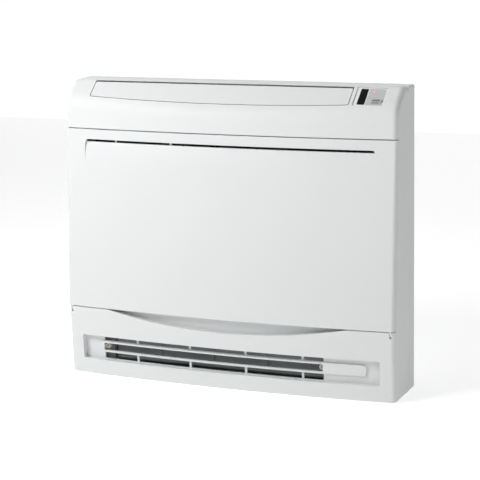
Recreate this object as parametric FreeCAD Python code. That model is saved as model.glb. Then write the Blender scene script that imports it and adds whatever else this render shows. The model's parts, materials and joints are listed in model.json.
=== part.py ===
import FreeCAD, Part
import math
import os

# Floor console air conditioner. Millimetres. X to the viewer's right, front is -Y, Z up.
# Origin: middle of the footprint on the floor.

V = FreeCAD.Vector

# ---------------------------------------------------------------- driving dimensions
W = 700.0            # overall width
H = 600.0            # overall height
D = 210.0            # overall depth
HW = W / 2
Y_WALL = D / 2       # wall plane
Y_FULL = 40.0        # rear plane of the full-width body
Y_SEAM = 3.0         # seam between front cover and rear casing
SAG = 18.0           # bow of the front in plan, middle against ends
T = 2.5              # wall of the mouldings
D_BOT = 118.0        # front depth at the floor, ends, measured from Y_FULL
D_LOW = 124.5        # front depth just under the front panel
Z_LOW = 141.0        # top of the lower section
D_PB = 127.0         # front panel depth, bottom edge
D_PT = 106.0         # front panel depth, top edge
Z_PB = 142.5         # front panel bottom
Z_PT = 505.0         # front panel top
PANEL_RET = 9.0      # depth of the panel's returns
Z_TOPS = 507.0       # bottom of the top section
D_TOPS = 106.0
D_TOPE = 105.3
SLOPE_D = 63.0       # where the sloped top starts, from Y_FULL
SLOPE_TAN = 0.821
REAR_HW = 326.0      # half width of the rear body behind Y_FULL
REAR_H = 588.0
Y_BACK = 103.5       # rear face of the rear casing
R_EDGE = 9.0         # rounding of the lower section's side edges
R_FOOT = 4.0         # rounding along the floor
R_TOP = 11.0         # rounding of the top section's side edges
R_PANEL = 7.5        # rounding of the panel's side edges
R_BROW = 40.0        # rounding from the slope to the front
R_CROWN = 16.0       # rounding from the slope to the top
PANEL_AXIS = (-78.0, 136.0)   # panel hinge axis (y, z)
VANE_X = (-297.0, 250.0)
VANE_PIVOT_T = 16.0
VANE_PIVOT_N = -9.0
DAMPER_AXIS = (-55.0, 33.0)
XF, ZF = -28.0, 322.0         # fan centre
FAN_R = 152.0
SHAFT_R = 4.0
RUN = 0.05                    # radial running clearance
LOUVER_X = [-262.0 + 78.0 * i for i in range(7)]
LINK_R = 13.0

R_BOW = (HW * HW + SAG * SAG) / (2 * SAG)
Y_AX = (Y_FULL - D_BOT - SAG) + R_BOW   # vertical axis of the bowed front
BOW_A = 13.0

os.makedirs("parts", exist_ok=True)


# ---------------------------------------------------------------- helpers
def box(x0, x1, y0, y1, z0, z1):
    return Part.makeBox(x1 - x0, y1 - y0, z1 - z0, V(x0, y0, z0))


def cyl(r, p, d, h):
    return Part.makeCylinder(r, h, V(*p), V(*d))


def cyl_x(r, x0, x1, y, z):
    return Part.makeCylinder(r, x1 - x0, V(x0, y, z), V(1, 0, 0))


def cyl_y(r, y0, y1, x, z):
    return Part.makeCylinder(r, y1 - y0, V(x, y0, z), V(0, 1, 0))


def cyl_z(r, z0, z1, x, y):
    return Part.makeCylinder(r, z1 - z0, V(x, y, z0), V(0, 0, 1))


def face_of(pts):
    return Part.Face(Part.makePolygon([V(*p) for p in pts] + [V(*pts[0])]))


def prism_x(pts, x0, x1):
    return face_of([(x0, y, z) for y, z in pts]).extrude(V(x1 - x0, 0, 0))


def prism_y(pts, y0, y1):
    return face_of([(x, y0, z) for x, z in pts]).extrude(V(0, y1 - y0, 0))


def rr_wire(x0, x1, z0, z1, r, y):
    """Rounded rectangle in a plane of constant y. r: one radius, or four (bl, br, tr, tl)."""
    rs = [r] * 4 if not isinstance(r, (list, tuple)) else list(r)
    bl, br, tr, tl = rs
    s = math.sqrt(0.5)
    edges = []

    def line(a, b):
        if (a - b).Length > 1e-6:
            edges.append(Part.LineSegment(a, b).toShape())

    def arc(a, m, b):
        edges.append(Part.Arc(a, m, b).toShape())

    line(V(x0 + bl, y, z0), V(x1 - br, y, z0))
    if br:
        arc(V(x1 - br, y, z0), V(x1 - br + br * s, y, z0 + br - br * s), V(x1, y, z0 + br))
    line(V(x1, y, z0 + br), V(x1, y, z1 - tr))
    if tr:
        arc(V(x1, y, z1 - tr), V(x1 - tr + tr * s, y, z1 - tr + tr * s), V(x1 - tr, y, z1))
    line(V(x1 - tr, y, z1), V(x0 + tl, y, z1))
    if tl:
        arc(V(x0 + tl, y, z1), V(x0 + tl - tl * s, y, z1 - tl + tl * s), V(x0, y, z1 - tl))
    line(V(x0, y, z1 - tl), V(x0, y, z0 + bl))
    if bl:
        arc(V(x0, y, z0 + bl), V(x0 + bl - bl * s, y, z0 + bl - bl * s), V(x0 + bl, y, z0))
    return Part.Wire(edges)


def rr_y(x0, x1, z0, z1, r, y0, y1):
    return Part.Face(rr_wire(x0, x1, z0, z1, r, y0)).extrude(V(0, y1 - y0, 0))


def bow(pts):
    """Solid of revolution about the bow axis; pts are (depth, z) at the ends of the width."""
    f = face_of([(0, Y_FULL - SAG - d, z) for d, z in pts])
    f.rotate(V(0, Y_AX, 0), V(0, 0, 1), -BOW_A / 2)
    return f.revolve(V(0, Y_AX, 0), V(0, 0, 1), BOW_A)


def turn_y(pts, x, z):
    """Solid of revolution about an axis along Y through (x, z); pts are (radius, y)."""
    f = face_of([(x + r, y, z) for r, y in pts])
    return f.revolve(V(x, 0, z), V(0, 1, 0), 360)


def fuse(shapes):
    s = shapes[0]
    if len(shapes) > 1:
        s = s.multiFuse(shapes[1:])
    return s.removeSplitter()


def cut(s, tools):
    return s.cut(Part.makeCompound(tools) if len(tools) > 1 else tools[0])


def pick(shape, test):
    out = []
    for e in shape.Edges:
        b = e.BoundBox
        if test(b):
            out.append(e)
    return out


def fillet(shape, r, test, what):
    es = pick(shape, test)
    if not es:
        print("no edge for fillet", what)
        return shape
    try:
        s = shape.makeFillet(r, es)
        if s.isValid() and s.Volume > 0:
            return s
        print("fillet not valid", what)
    except Exception as err:
        print("fillet failed", what, err)
    return shape


def hexagon_z(af, z0, z1, x, y):
    r = af / math.sqrt(3)
    pts = [(x + r * math.cos(math.radians(60 * i)), y + r * math.sin(math.radians(60 * i)), z0) for i in range(6)]
    return face_of(pts).extrude(V(0, 0, z1 - z0))


def hexagon_y(af, y0, y1, x, z):
    r = af / math.sqrt(3)
    pts = [(x + r * math.cos(math.radians(60 * i)), y0, z + r * math.sin(math.radians(60 * i))) for i in range(6)]
    return face_of(pts).extrude(V(0, y1 - y0, 0))


def strip(pts, t):
    """Plate of thickness t on the left of a polyline in (y, z), as a closed outline."""
    n = len(pts)
    nor = []
    for i in range(n - 1):
        dy, dz = pts[i + 1][0] - pts[i][0], pts[i + 1][1] - pts[i][1]
        q = math.hypot(dy, dz)
        nor.append((-dz / q, dy / q))
    off = []
    for i in range(n):
        if i == 0:
            m = nor[0]
        elif i == n - 1:
            m = nor[-1]
        else:
            a, b = nor[i - 1], nor[i]
            k = 1 + a[0] * b[0] + a[1] * b[1]
            m = ((a[0] + b[0]) / k, (a[1] + b[1]) / k)
        off.append((pts[i][0] + t * m[0], pts[i][1] + t * m[1]))
    return list(pts) + off[::-1]


def tube(pts, r, bend):
    """Round bar along straight runs with tangent arcs of one bend radius."""
    ps = [V(*p) for p in pts]
    edges = []
    cur = ps[0]
    for i in range(1, len(ps) - 1):
        a = (ps[i - 1] - ps[i]).normalize()
        b = (ps[i + 1] - ps[i]).normalize()
        ang = a.getAngle(b)
        tl = bend / math.tan(ang / 2)
        p0, p1 = ps[i] + a * tl, ps[i] + b * tl
        c = ps[i] + (a + b).normalize() * (bend / math.sin(ang / 2))
        mid = c + (ps[i] - c).normalize() * bend
        edges.append(Part.LineSegment(cur, p0).toShape())
        edges.append(Part.Arc(p0, mid, p1).toShape())
        cur = p1
    edges.append(Part.LineSegment(cur, ps[-1]).toShape())
    w = Part.Wire(edges)
    prof = Part.Wire([Part.makeCircle(r, ps[0], ps[1] - ps[0])])
    s = w.makePipeShell([prof], True, False)
    return s


# sloped top: u along X, t down the slope from its upper edge, n outwards
SL = math.atan(SLOPE_TAN)
SC, SS = math.cos(SL), math.sin(SL)
SL_O = (Y_FULL - SLOPE_D, H)


def sl(u, t, n):
    return V(u, SL_O[0] - t * SC - n * SS, SL_O[1] - t * SS + n * SC)


SL_N = V(0, -SS, SC)


def sl_prism(pts, n0, n1):
    vs = [sl(u, t, n0) for u, t in pts]
    return Part.Face(Part.makePolygon(vs + [vs[0]])).extrude(SL_N * (n1 - n0))


def sl_box(u0, u1, t0, t1, n0, n1, r=0):
    if r <= 0:
        return sl_prism([(u0, t0), (u1, t0), (u1, t1), (u0, t1)], n0, n1)
    s = math.sqrt(0.5)
    P = lambda u, t: sl(u, t, n0)
    e = [
        Part.LineSegment(P(u0 + r, t0), P(u1 - r, t0)).toShape(),
        Part.Arc(P(u1 - r, t0), P(u1 - r + r * s, t0 + r - r * s), P(u1, t0 + r)).toShape(),
        Part.LineSegment(P(u1, t0 + r), P(u1, t1 - r)).toShape(),
        Part.Arc(P(u1, t1 - r), P(u1 - r + r * s, t1 - r + r * s), P(u1 - r, t1)).toShape(),
        Part.LineSegment(P(u1 - r, t1), P(u0 + r, t1)).toShape(),
        Part.Arc(P(u0 + r, t1), P(u0 + r - r * s, t1 - r + r * s), P(u0, t1 - r)).toShape(),
        Part.LineSegment(P(u0, t1 - r), P(u0, t0 + r)).toShape(),
        Part.Arc(P(u0, t0 + r), P(u0 + r - r * s, t0 + r - r * s), P(u0 + r, t0)).toShape(),
    ]
    return Part.Face(Part.Wire(e)).extrude(SL_N * (n1 - n0))


def vane_outline(g, gt, n0, n1, rc):
    """Vane plan on the slope grown by g at the ends and front and gt at the rear; the front edge is an arc."""
    x0, x1 = VANE_X[0] - g, VANE_X[1] + g
    t0 = 6.5 - gt

    def tl(u):
        return 57.0 - 1.307e-4 * u * u + g

    P = lambda u, t: sl(u, t, n0)
    um = (x0 + x1) / 2
    e = [
        Part.LineSegment(P(x0, t0), P(x1, t0)).toShape(),
        Part.LineSegment(P(x1, t0), P(x1, tl(x1))).toShape(),
        Part.Arc(P(x1, tl(x1)), P(um, tl(um)), P(x0, tl(x0))).toShape(),
        Part.LineSegment(P(x0, tl(x0)), P(x0, t0)).toShape(),
    ]
    s = Part.Face(Part.Wire(e)).extrude(SL_N * (n1 - n0))
    if rc:
        es = []
        for ed in s.Edges:
            v = ed.Vertexes
            if len(v) == 2:
                d = v[1].Point - v[0].Point
                if d.Length > 0 and abs(abs(d.normalize().dot(SL_N)) - 1) < 1e-6:
                    p = v[0].Point
                    t = -((p.y - SL_O[0]) * SC + (p.z - SL_O[1]) * SS)
                    if t > 20:
                        es.append(ed)
        s = s.makeFillet(rc, es)
    return s


nodes = []


def emit(name, shape):
    if shape.ShapeType in ("Compound", "CompSolid"):
        sol = shape.Solids
        out = sol[0] if len(sol) == 1 else Part.makeCompound(sol)
    else:
        out = shape
    sol = out.Solids
    ok = all(s.isValid() and s.isClosed() and s.Volume > 0 for s in sol)
    pts = out.tessellate(0.1)[0]
    b = FreeCAD.BoundBox(min(q.x for q in pts), min(q.y for q in pts), min(q.z for q in pts), max(q.x for q in pts), max(q.y for q in pts), max(q.z for q in pts))
    print("%-20s solids %2d ok %s vol %.1f cm3  x %.1f..%.1f y %.1f..%.1f z %.1f..%.1f" % (
        name, len(sol), ok, out.Volume / 1000, b.XMin, b.XMax, b.YMin, b.YMax, b.ZMin, b.ZMax))
    out.exportStep("parts/%s.step" % name)
    nodes.append(name)


def d_low(z):
    return D_BOT + (D_LOW - D_BOT) * z / Z_LOW


def d_pan(z):
    return D_PB + (D_PT - D_PB) * (z - Z_PB) / (Z_PT - Z_PB)


def bow_y(d, x):
    """y of a bowed surface of depth d at a given x."""
    r = Y_AX - (Y_FULL - SAG - d)
    return Y_AX - math.sqrt(r * r - x * x)


# ---------------------------------------------------------------- front cover
Y_CF = Y_SEAM - 0.9     # rear edge of the cover
big = -150.0
near = lambda v, w, e=0.3: abs(v - w) < e

# lower section
low_o = bow([(D_BOT, 0), (d_low(Z_LOW - 1.2), Z_LOW - 1.2), (D_LOW - 0.4, Z_LOW - 0.35), (D_LOW - 1.2, Z_LOW), (big, Z_LOW), (big, 0)]).common(box(-HW, HW, -200, Y_CF, -1, Z_LOW))
low_o = fillet(low_o, R_EDGE, lambda b: near(b.XMin, b.XMax) and near(abs(b.XMin), HW) and b.ZLength > 100 and b.YMax < -50, "lower outer")
low_o = fillet(low_o, R_FOOT, lambda b: b.ZMax < 0.3 and (b.YMax < Y_CF - 1 or (near(b.XMin, b.XMax) and near(abs(b.XMin), HW))), "foot outer")
low_i = bow([(D_BOT - T, T), (D_LOW - T, Z_LOW - T), (big, Z_LOW - T), (big, T)]).common(box(-HW + T, HW - T, -200, 20, T, Z_LOW - T))
low_i = fillet(low_i, R_EDGE - T, lambda b: near(b.XMin, b.XMax) and near(abs(b.XMin), HW - T) and b.ZLength > 100 and b.YMax < -50, "lower inner")
low_i = fillet(low_i, R_FOOT - T, lambda b: b.ZMax < T + 0.3 and (b.YMax < 10 or (near(b.XMin, b.XMax) and near(abs(b.XMin), HW - T))), "foot inner")
low = low_o.cut(low_i)
low = low.cut(box(-HW + T, HW - T, -68, 30, Z_LOW - T - 1, Z_LOW + 1))

# finger scoop under the panel's lower edge: a shallow arc in front view, its back follows the bow
SCOOP_X, SCOOP_Z, SCOOP_D = 258.0, 114.5, 14.0


def smile(x, z0, z1, y0, y1):
    """Prism along Y over the region between an arc that hangs down to z0 and the level z1."""
    e = [Part.Arc(V(-x, y0, z1), V(0, y0, z0), V(x, y0, z1)).toShape(), Part.LineSegment(V(x, y0, z1), V(-x, y0, z1)).toShape()]
    return Part.Face(Part.Wire(e)).extrude(V(0, y1 - y0, 0))


def behind(d0, d1, z0, z1):
    """Bowed slab that keeps the lower section's slope, between depths d0 and d1 behind its front."""
    return bow([(d_low(z0) - d1, z0), (d_low(z1) - d1, z1), (d_low(z1) - d0, z1), (d_low(z0) - d0, z0)])


pan_sc = smile(SCOOP_X + 9.0, SCOOP_Z - T, Z_LOW, -140, 0).common(behind(0.4, SCOOP_D + T, SCOOP_Z - 8, Z_LOW + 6)).common(low_o)
cut_sc = smile(SCOOP_X + 4.0, SCOOP_Z, Z_LOW + 1.0, -140, 0).common(behind(-12.0, SCOOP_D, SCOOP_Z - 8, Z_LOW + 6))
low = low.fuse(pan_sc).cut(cut_sc)

# recess with bar and outlet slots
pocket_o = bow([(104.0, 28), (106.5, 88), (120.8, 88), (118.2, 28)]).common(rr_y(-322.5, 322.5, 29.2, 84.5, 6.0, -140, 0))
pocket_i = bow([(106.5, 26), (109.0, 90), (150, 90), (150, 26)]).common(rr_y(-320, 320, 31.7, 82, (4, 8, 3, 3), -140, 0))
bar = bow([(105.5, 40), (108.0, 76), (113.1, 76), (110.5, 40)]).common(rr_y(-281, 291, 46.4, 70.2, (6, 9.5, 5.5, 6), -140, 0))
front_face = min(bar.Faces, key=lambda f: f.CenterOfMass.y)
bar = bar.makeFillet(2.2, front_face.Edges)
low = low.fuse(pocket_o).cut(pocket_i).fuse(bar)
ribs = [-197.0, -78.0, 43.0, 162.0]
edges_x = [-274.5] + [v for r in ribs for v in (r - 2.2, r + 2.2)] + [204.5]
slots = []
for i in range(0, len(edges_x), 2):
    a, b = edges_x[i], edges_x[i + 1]
    slots.append(rr_y(a, b, 70.8, 81.2, 1.5, -130, -60))
    slots.append(rr_y(a, b, 32.9, 45.5, 1.5, -130, -60))
slots.append(rr_y(-274.5, 204.5, 50.6, 66.4, 2.0, -130, -60))
low = cut(low, slots)
SCREW_X = [-268.6, 200.4]
SCREW_Z = 58.8
for sx in SCREW_X:
    yb = bow_y(105.5, sx)
    boss = cyl_y(5.4, yb, -65.2, sx, SCREW_Z)
    xa, xb = sorted((sx, sx + math.copysign(8.0, sx)))
    boss = boss.fuse(box(xa, xb, yb, yb + 2.4, SCREW_Z - 3.0, SCREW_Z + 3.0))
    low = low.fuse(boss).cut(cyl_y(2.3, yb - 5, -60, sx, SCREW_Z))
# hinge notches at the corners and pipe opening in the floor
for s in (-1, 1):
    xa, xb = sorted((s * 339.6, s * 343.2))
    low = low.cut(box(xa, xb, -95, -62, 129.0, Z_LOW + 1))
low = low.cut(box(-342, -266, -53, -8, -1, T + 1))
# hinge brackets inside
ya, za = PANEL_AXIS
for s in (-1, 1):
    xa, xb = sorted((s * 330.4, s * 336.9))
    br = box(xa, xb, -83.0, -70.5, 129.0, Z_LOW - T + 0.5)
    low = low.fuse(br).cut(cyl_x(2.5 + RUN, xa - 1, xb + 1, ya, za))

# middle frame behind the panel
mid_o = bow([(117.5, Z_LOW), (96.5, Z_TOPS), (big, Z_TOPS), (big, Z_LOW)]).common(box(-HW, HW, -200, Y_CF, Z_LOW, Z_TOPS))
mid_i = bow([(115.0, Z_LOW - 1), (94.0, Z_TOPS + 1), (big, Z_TOPS + 1), (big, Z_LOW - 1)]).common(box(-HW + T, HW - T, -200, 20, Z_LOW - 1, Z_TOPS + 1))
mid = mid_o.cut(mid_i)
mid = mid.cut(box(-294, 238, -200, -20, 160, 490)).cut(box(-312, 312, -200, -20, 472, 490))
ledge = bow([(117.4, Z_LOW - 0.5), (117.2, Z_LOW + 2.2), (94.0, Z_LOW + 2.2), (94.0, Z_LOW - 0.5)]).common(box(-320, 320, -200, 20, Z_LOW - 1, Z_LOW + 3))
mid = mid.fuse(ledge)
mid = mid.cut(box(282, 290, -200, -20, 291, 314))
for cx in (-200.0, 200.0):
    mid = mid.cut(box(cx - 5, cx + 5, -200, -20, 494, 502))
for s in (-1, 1):
    xa, xb = sorted((s * 339.6, s * 343.2))
    mid = mid.cut(box(xa, xb, -95, -66, Z_LOW - 1, 156))

# top section with the slope
sl_out = [(60, 480), (60, H), (SL_O[0], H), (SL_O[0] - 140, H - 140 * SLOPE_TAN), (SL_O[0] - 140, 480)]
top_o = bow([(D_TOPS, Z_TOPS), (D_TOPE, H + 1), (big, H + 1), (big, Z_TOPS)]).common(prism_x(sl_out, -HW, HW)).common(box(-HW, HW, -200, Y_CF, Z_TOPS, H))
top_o = fillet(top_o, R_BROW, lambda b: b.XLength > 600 and b.ZMin > 540 and b.ZMax < 575, "slope to front")
top_o = fillet(top_o, R_CROWN, lambda b: b.XLength > 690 and b.ZMin > H - 1 and b.YMax < -20, "slope to top")
top_o = fillet(top_o, R_TOP, lambda b: near(b.XMin, b.XMax) and near(abs(b.XMin), HW) and not (b.ZMax < Z_TOPS + 0.5) and b.YMin < Y_CF - 1, "top sides")
oy, oz = SL_O[0] + T * SS, SL_O[1] - T * SC
sl_in = [(60, 480), (60, H - T), (oy - (oz - (H - T)) / SLOPE_TAN, H - T), (oy - 140, oz - 140 * SLOPE_TAN), (oy - 140, 480)]
top_i = bow([(D_TOPS - T, Z_TOPS + T), (D_TOPE - T, H + 1), (big, H + 1), (big, Z_TOPS + T)]).common(prism_x(sl_in, -HW + T, HW - T)).common(box(-HW + T, HW - T, -200, 20, Z_TOPS + T, H - T))
top_i = fillet(top_i, R_BROW - T, lambda b: b.XLength > 600 and b.ZMin > 540 and b.ZMax < 575, "slope to front inner")
top_i = fillet(top_i, R_CROWN - T, lambda b: b.XLength > 690 and b.ZMin > H - T - 1 and b.YMax < -15, "slope to top inner")
top_i = fillet(top_i, R_TOP - T, lambda b: near(b.XMin, b.XMax) and near(abs(b.XMin), HW - T) and not (b.ZMax < Z_TOPS + T + 0.5) and b.YMin < 15, "top sides inner")
top = top_o.cut(top_i)
top = top.cut(box(-HW + T, HW - T, -55, 30, Z_TOPS - 1, Z_TOPS + T + 1))
shell = top
top = top.cut(vane_outline(1.8, 5.0, -20, 12, 5.8))
top = top.cut(sl_box(258.5, 319.0, 2.5, 50.0, -14, 12, 3.0))

cover = low.fuse(mid).fuse(top).removeSplitter()
emit("front_cover", cover)

# ---------------------------------------------------------------- rear casing
Y_CB = Y_SEAM + 0.9
rc = rr_y(-HW + 0.5, HW - 0.5, 0, H - 0.5, 4.0, Y_CB, Y_FULL)
inset = rr_y(-REAR_HW, REAR_HW, 0, REAR_H, (4, 4, 8, 8), Y_FULL - 1, Y_BACK)
inset = fillet(inset, 5.0, lambda b: b.YLength < 0.01 and near(b.YMin, Y_BACK, 0.01) and b.ZMin > 1.0, "rear edges")
rc = rc.fuse(inset)
rc = rc.cut(rr_y(-HW + T, HW - T, T, H - T, 2.0, Y_CB - 1, Y_FULL - T))
rc = rc.cut(rr_y(-REAR_HW + T, REAR_HW - T, T, REAR_H - T, 4.0, Y_FULL - T - 1, Y_BACK - T))
lip = rr_y(-347.2, 347.2, 2.8, 597.2, (5.0, 5.0, 8.5, 8.5), -4.0, Y_CB + 4).fuse(rr_y(-348.5, 348.5, 1.5, 598.5, 3.0, Y_CB, Y_CB + 4))
lip = lip.cut(rr_y(-345.4, 345.4, 4.6, 595.4, (4.0, 4.0, 6.7, 6.7), -5.0, Y_CB + 5))
rc = rc.fuse(lip)
for s in (-1, 1):
    # knock-out outlines low on both sides
    xa, xb = sorted((s * (HW - 0.8), s * (HW + 1)))
    ring = box(xa, xb, 12, 35, 22, 78).cut(box(xa - 1, xb + 1, 13.6, 33.4, 23.6, 76.4))
    rc = rc.cut(ring)
BOLT_X, BOLT_Z = 270.0, (90.0, 510.0)
for x in (-BOLT_X, BOLT_X):
    for z in BOLT_Z:
        rc = rc.cut(cyl_y(4.0, 95, 110, x, z))
for x0 in (-150.0, 110.0):
    rc = rc.cut(box(x0, x0 + 40, 98, 110, 519, 527))
GLAND = (255.0, 60.0)
rc = rc.cut(cyl_y(11.0, 95, 110, GLAND[0], GLAND[1]))
rc = rc.removeSplitter()
emit("rear_casing", rc)

# wall plate with two hooks
wp = rr_y(-200, 200, 470, 560, 8, Y_BACK, Y_WALL)
for x in (-170, -60, 60, 170):
    for z in (485, 545):
        wp = wp.cut(rr_y(x - 9, x + 9, z - 3, z + 3, 2.9, 100, 110))
for x0 in (-148.0, 112.0):
    wp = wp.fuse(box(x0, x0 + 36, 96.5, Y_BACK + 0.5, 521.0, 523.0)).fuse(box(x0, x0 + 36, 96.5, 98.5, 521.0, 533.0))
emit("wall_plate", wp.removeSplitter())

# rubber gland in the rear wall
gr = turn_y([(7, 98.5), (14, 98.5), (14, 100.9), (10.9, 100.9), (10.9, 103.6), (14, 103.6), (12.5, 105.0), (7, 105.0)], GLAND[0], GLAND[1])
emit("cable_grommet", gr)

# ---------------------------------------------------------------- front panel
PX = HW - 0.3
po = bow([(D_PB, Z_PB), (D_PT, Z_PT), (D_PT - PANEL_RET, Z_PT), (d_pan(148.0) - PANEL_RET, 148.0), (D_PB - 3.2, Z_PB)]).common(box(-PX, PX, -200, 20, Z_PB, Z_PT))
po = fillet(po, R_PANEL, lambda b: b.ZLength > 300 and near(abs(b.XMin), PX, 0.4) and near(b.XMin, b.XMax, 0.2) and b.YMin < -86.5 and b.YMax < -64, "panel sides")
po = fillet(po, 1.2, lambda b: b.XLength > 600 and b.ZLength < 2 and (b.YMin < -104 or (b.ZMin > Z_PT - 1 and b.YMin < -83)), "panel top and bottom")
pi = bow([(d_pan(Z_PB - 5) - T, Z_PB - 5), (D_PT - T, Z_PT - T), (60, Z_PT - T), (60, Z_PB - 5)]).common(box(-PX + T, PX - T, -200, 20, Z_PB - 5, Z_PT))
pi = fillet(pi, R_PANEL - T, lambda b: b.ZLength > 300 and near(abs(b.XMin), PX - T, 0.4) and near(b.XMin, b.XMax, 0.2) and b.YMax < -61, "panel sides inner")
panel = po.cut(pi)
# inlet slot with the recessed field below it
SLOT_XL, SLOT_X, SLOT_Z0, SLOT_Z1, FADE_Z, REC = -305.5, 309.0, 479.0, 485.3, 436.0, 5.0
back_pts = []
for k in range(7):
    zz = FADE_Z + (SLOT_Z0 - FADE_Z) * k / 6.0
    back_pts.append((d_pan(zz) - 2.3 - REC * (k / 6.0) ** 2, zz))
liner = bow([(d_pan(FADE_Z) - 0.6, FADE_Z), (d_pan(488.5) - 0.6, 488.5), (d_pan(488.5) - REC - 2.3, 488.5)] + back_pts[::-1])
liner = liner.common(rr_y(SLOT_XL - 2.5, SLOT_X + 2.5, FADE_Z, 488.5, (0, 0, 12.5, 12.5), -200, 20))
# the field dips smoothly towards the slot: an arc tangent to the panel at its lower end
cy = lambda d, z: V(0, Y_FULL - SAG - d, z)
zm = (FADE_Z + SLOT_Z0) / 2
w0, wm, w1 = cy(d_pan(FADE_Z), FADE_Z), cy(d_pan(zm) - REC / 4, zm), cy(d_pan(SLOT_Z0) - REC, SLOT_Z0)
w2, w3, w4 = cy(d_pan(SLOT_Z1 + 1) - REC, SLOT_Z1 + 1), cy(d_pan(SLOT_Z1 + 1) + 6, SLOT_Z1 + 1), cy(d_pan(FADE_Z) + 6, FADE_Z)
wf = Part.Face(Part.Wire([Part.Arc(w0, wm, w1).toShape(), Part.LineSegment(w1, w2).toShape(), Part.LineSegment(w2, w3).toShape(), Part.LineSegment(w3, w4).toShape(), Part.LineSegment(w4, w0).toShape()]))
wf.rotate(V(0, Y_AX, 0), V(0, 0, 1), -BOW_A / 2)
wedge = wf.revolve(V(0, Y_AX, 0), V(0, 0, 1), BOW_A)
wedge = wedge.common(rr_y(SLOT_XL, SLOT_X, FADE_Z - 5, SLOT_Z1, (0, 0, 10, 10), -210, 30))
panel = panel.fuse(liner).cut(wedge)
rib_x = [-236.0, -112.0]
se = [SLOT_XL + 3] + [v for r in rib_x for v in (r - 1.8, r + 1.8)] + [SLOT_X - 3]
for i in range(0, len(se), 2):
    panel = panel.cut(box(se[i], se[i + 1], -120, -40, SLOT_Z0 + 0.8, SLOT_Z1 - 0.3))
ds = d_pan(SLOT_Z0) - REC
groove = bow([(ds + 1.0, SLOT_Z0 + 0.8), (ds + 1.0, SLOT_Z1 - 0.3), (ds - 1.4, SLOT_Z1 - 0.3), (ds - 1.4, SLOT_Z0 + 0.8)])
panel = panel.cut(groove.common(box(SLOT_XL + 3, SLOT_X - 3, -200, 20, 470, 490)))
# hinge arms
for s in (-1, 1):
    xa, xb = sorted((s * 340.0, s * 342.8))
    arm = prism_x([(-86.0, Z_PB + T + 8), (-86.0, Z_PB), (-84.0, 138.6), (-72.2, 138.6), (-77.5, Z_PB + T + 8)], xa, xb)
    boss = cyl_x(6.4, xa, xb, ya, za)
    panel = panel.fuse(arm.fuse(boss)).cut(cyl_x(2.5, xa - 5, xb + 5, ya, za))
panel = panel.removeSplitter()
emit("front_panel", panel)

pins = []
for s in (-1, 1):
    xa, xb = sorted((s * 327.4, s * 342.8))
    pins.append(cyl_x(2.5, xa, xb, ya, za))
emit("panel_pins", Part.makeCompound(pins))

catches = []
for cx in (-200.0, 200.0):
    z0 = 498.0
    y0 = bow_y(d_pan(z0) - T, cx) + 0.6
    peg = box(cx - 3.5, cx + 3.5, y0, y0 + 12.5, z0 - 2.5, z0 + 2.5)
    peg = peg.makeFillet(1.2, [e for e in peg.Edges if e.BoundBox.YMin > y0 + 12])
    catches.append(peg)
emit("panel_catches", Part.makeCompound(catches))

# ---------------------------------------------------------------- top vane
vane = shell.common(vane_outline(0, 0, -20, 12, 4.0))
for t in (27.0, 38.0):
    vane = vane.fuse(sl_box(VANE_X[0] + 6, VANE_X[1] - 6, t, t + 1.8, -5.5, -2.4))
pv = sl(0, VANE_PIVOT_T, VANE_PIVOT_N)
for xa, xb in ((VANE_X[0] + 1.0, VANE_X[0] + 3.6), (VANE_X[1] - 3.6, VANE_X[1] - 1.0)):
    ear = sl_prism([(xa, 8), (xb, 8), (xb, 30), (xa, 30)], -2.5, -2.0)
    ear = prism_x([(p.y, p.z) for p in (sl(0, 8, -2.0), sl(0, 30, -2.0), sl(0, 21, -11.5), sl(0, 11.5, -11.5))], xa, xb)
    ear = ear.fuse(cyl_x(5.4, xa, xb, pv.y, pv.z))
    vane = vane.fuse(ear)
vane = vane.fuse(cyl_x(4.0, -318.0, VANE_X[0] + 2, pv.y, pv.z)).fuse(cyl_x(4.0, VANE_X[1] - 2, 258.0, pv.y, pv.z))
emit("top_vane", vane.removeSplitter())

# ---------------------------------------------------------------- upper duct with louvers
P1, P2 = (36.0, 521.0), (0.0, 575.0)
q = math.hypot(P2[0] - P1[0], P2[1] - P1[1])
FL = ((P2[0] - P1[0]) / q, (P2[1] - P1[1]) / q)        # flow direction (y, z)
AC = (-FL[1], FL[0])                                   # across the duct, rear to front
if AC[0] > 0:
    AC = (-AC[0], -AC[1])
GAP = 62.0
M = ((P1[0] + P2[0]) / 2, (P1[1] + P2[1]) / 2)


def fa(f, a):
    return (M[0] + f * FL[0] + a * AC[0], M[1] + f * FL[1] + a * AC[1])


rear_line = [(80.0, 486.0), P1, P2, (-11.5, 593.0)]
f1, f2 = fa(-q / 2, GAP), fa(q / 2, GAP)
front_line = [(-61.5, 553.5), f2, f1]
DUX = (-308.0, 256.0)
rear_pl = prism_x(strip(rear_line[::-1], 2.0), DUX[0] - 2, DUX[1] + 2)
front_pl = prism_x(strip(front_line[::-1], 2.0), DUX[0] - 2, DUX[1] + 2)
end_poly = rear_line + front_line
ends = [prism_x(end_poly, DUX[0] - 2, DUX[0]), prism_x(end_poly, DUX[1], DUX[1] + 2)]
duct = fuse([rear_pl, front_pl] + ends)
duct = duct.cut(cyl_x(4.0 + RUN, DUX[0] - 5, DUX[0] + 5, pv.y, pv.z)).cut(cyl_x(4.0 + RUN, DUX[1] - 5, DUX[1] + 5, pv.y, pv.z))
AV = V(0, AC[0], AC[1])
for x in LOUVER_X:
    p = fa(0, -6)
    duct = duct.cut(Part.makeCylinder(2.0 + RUN, 12, V(x, p[0], p[1]), AV))
emit("upper_duct", duct.removeSplitter())

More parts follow.
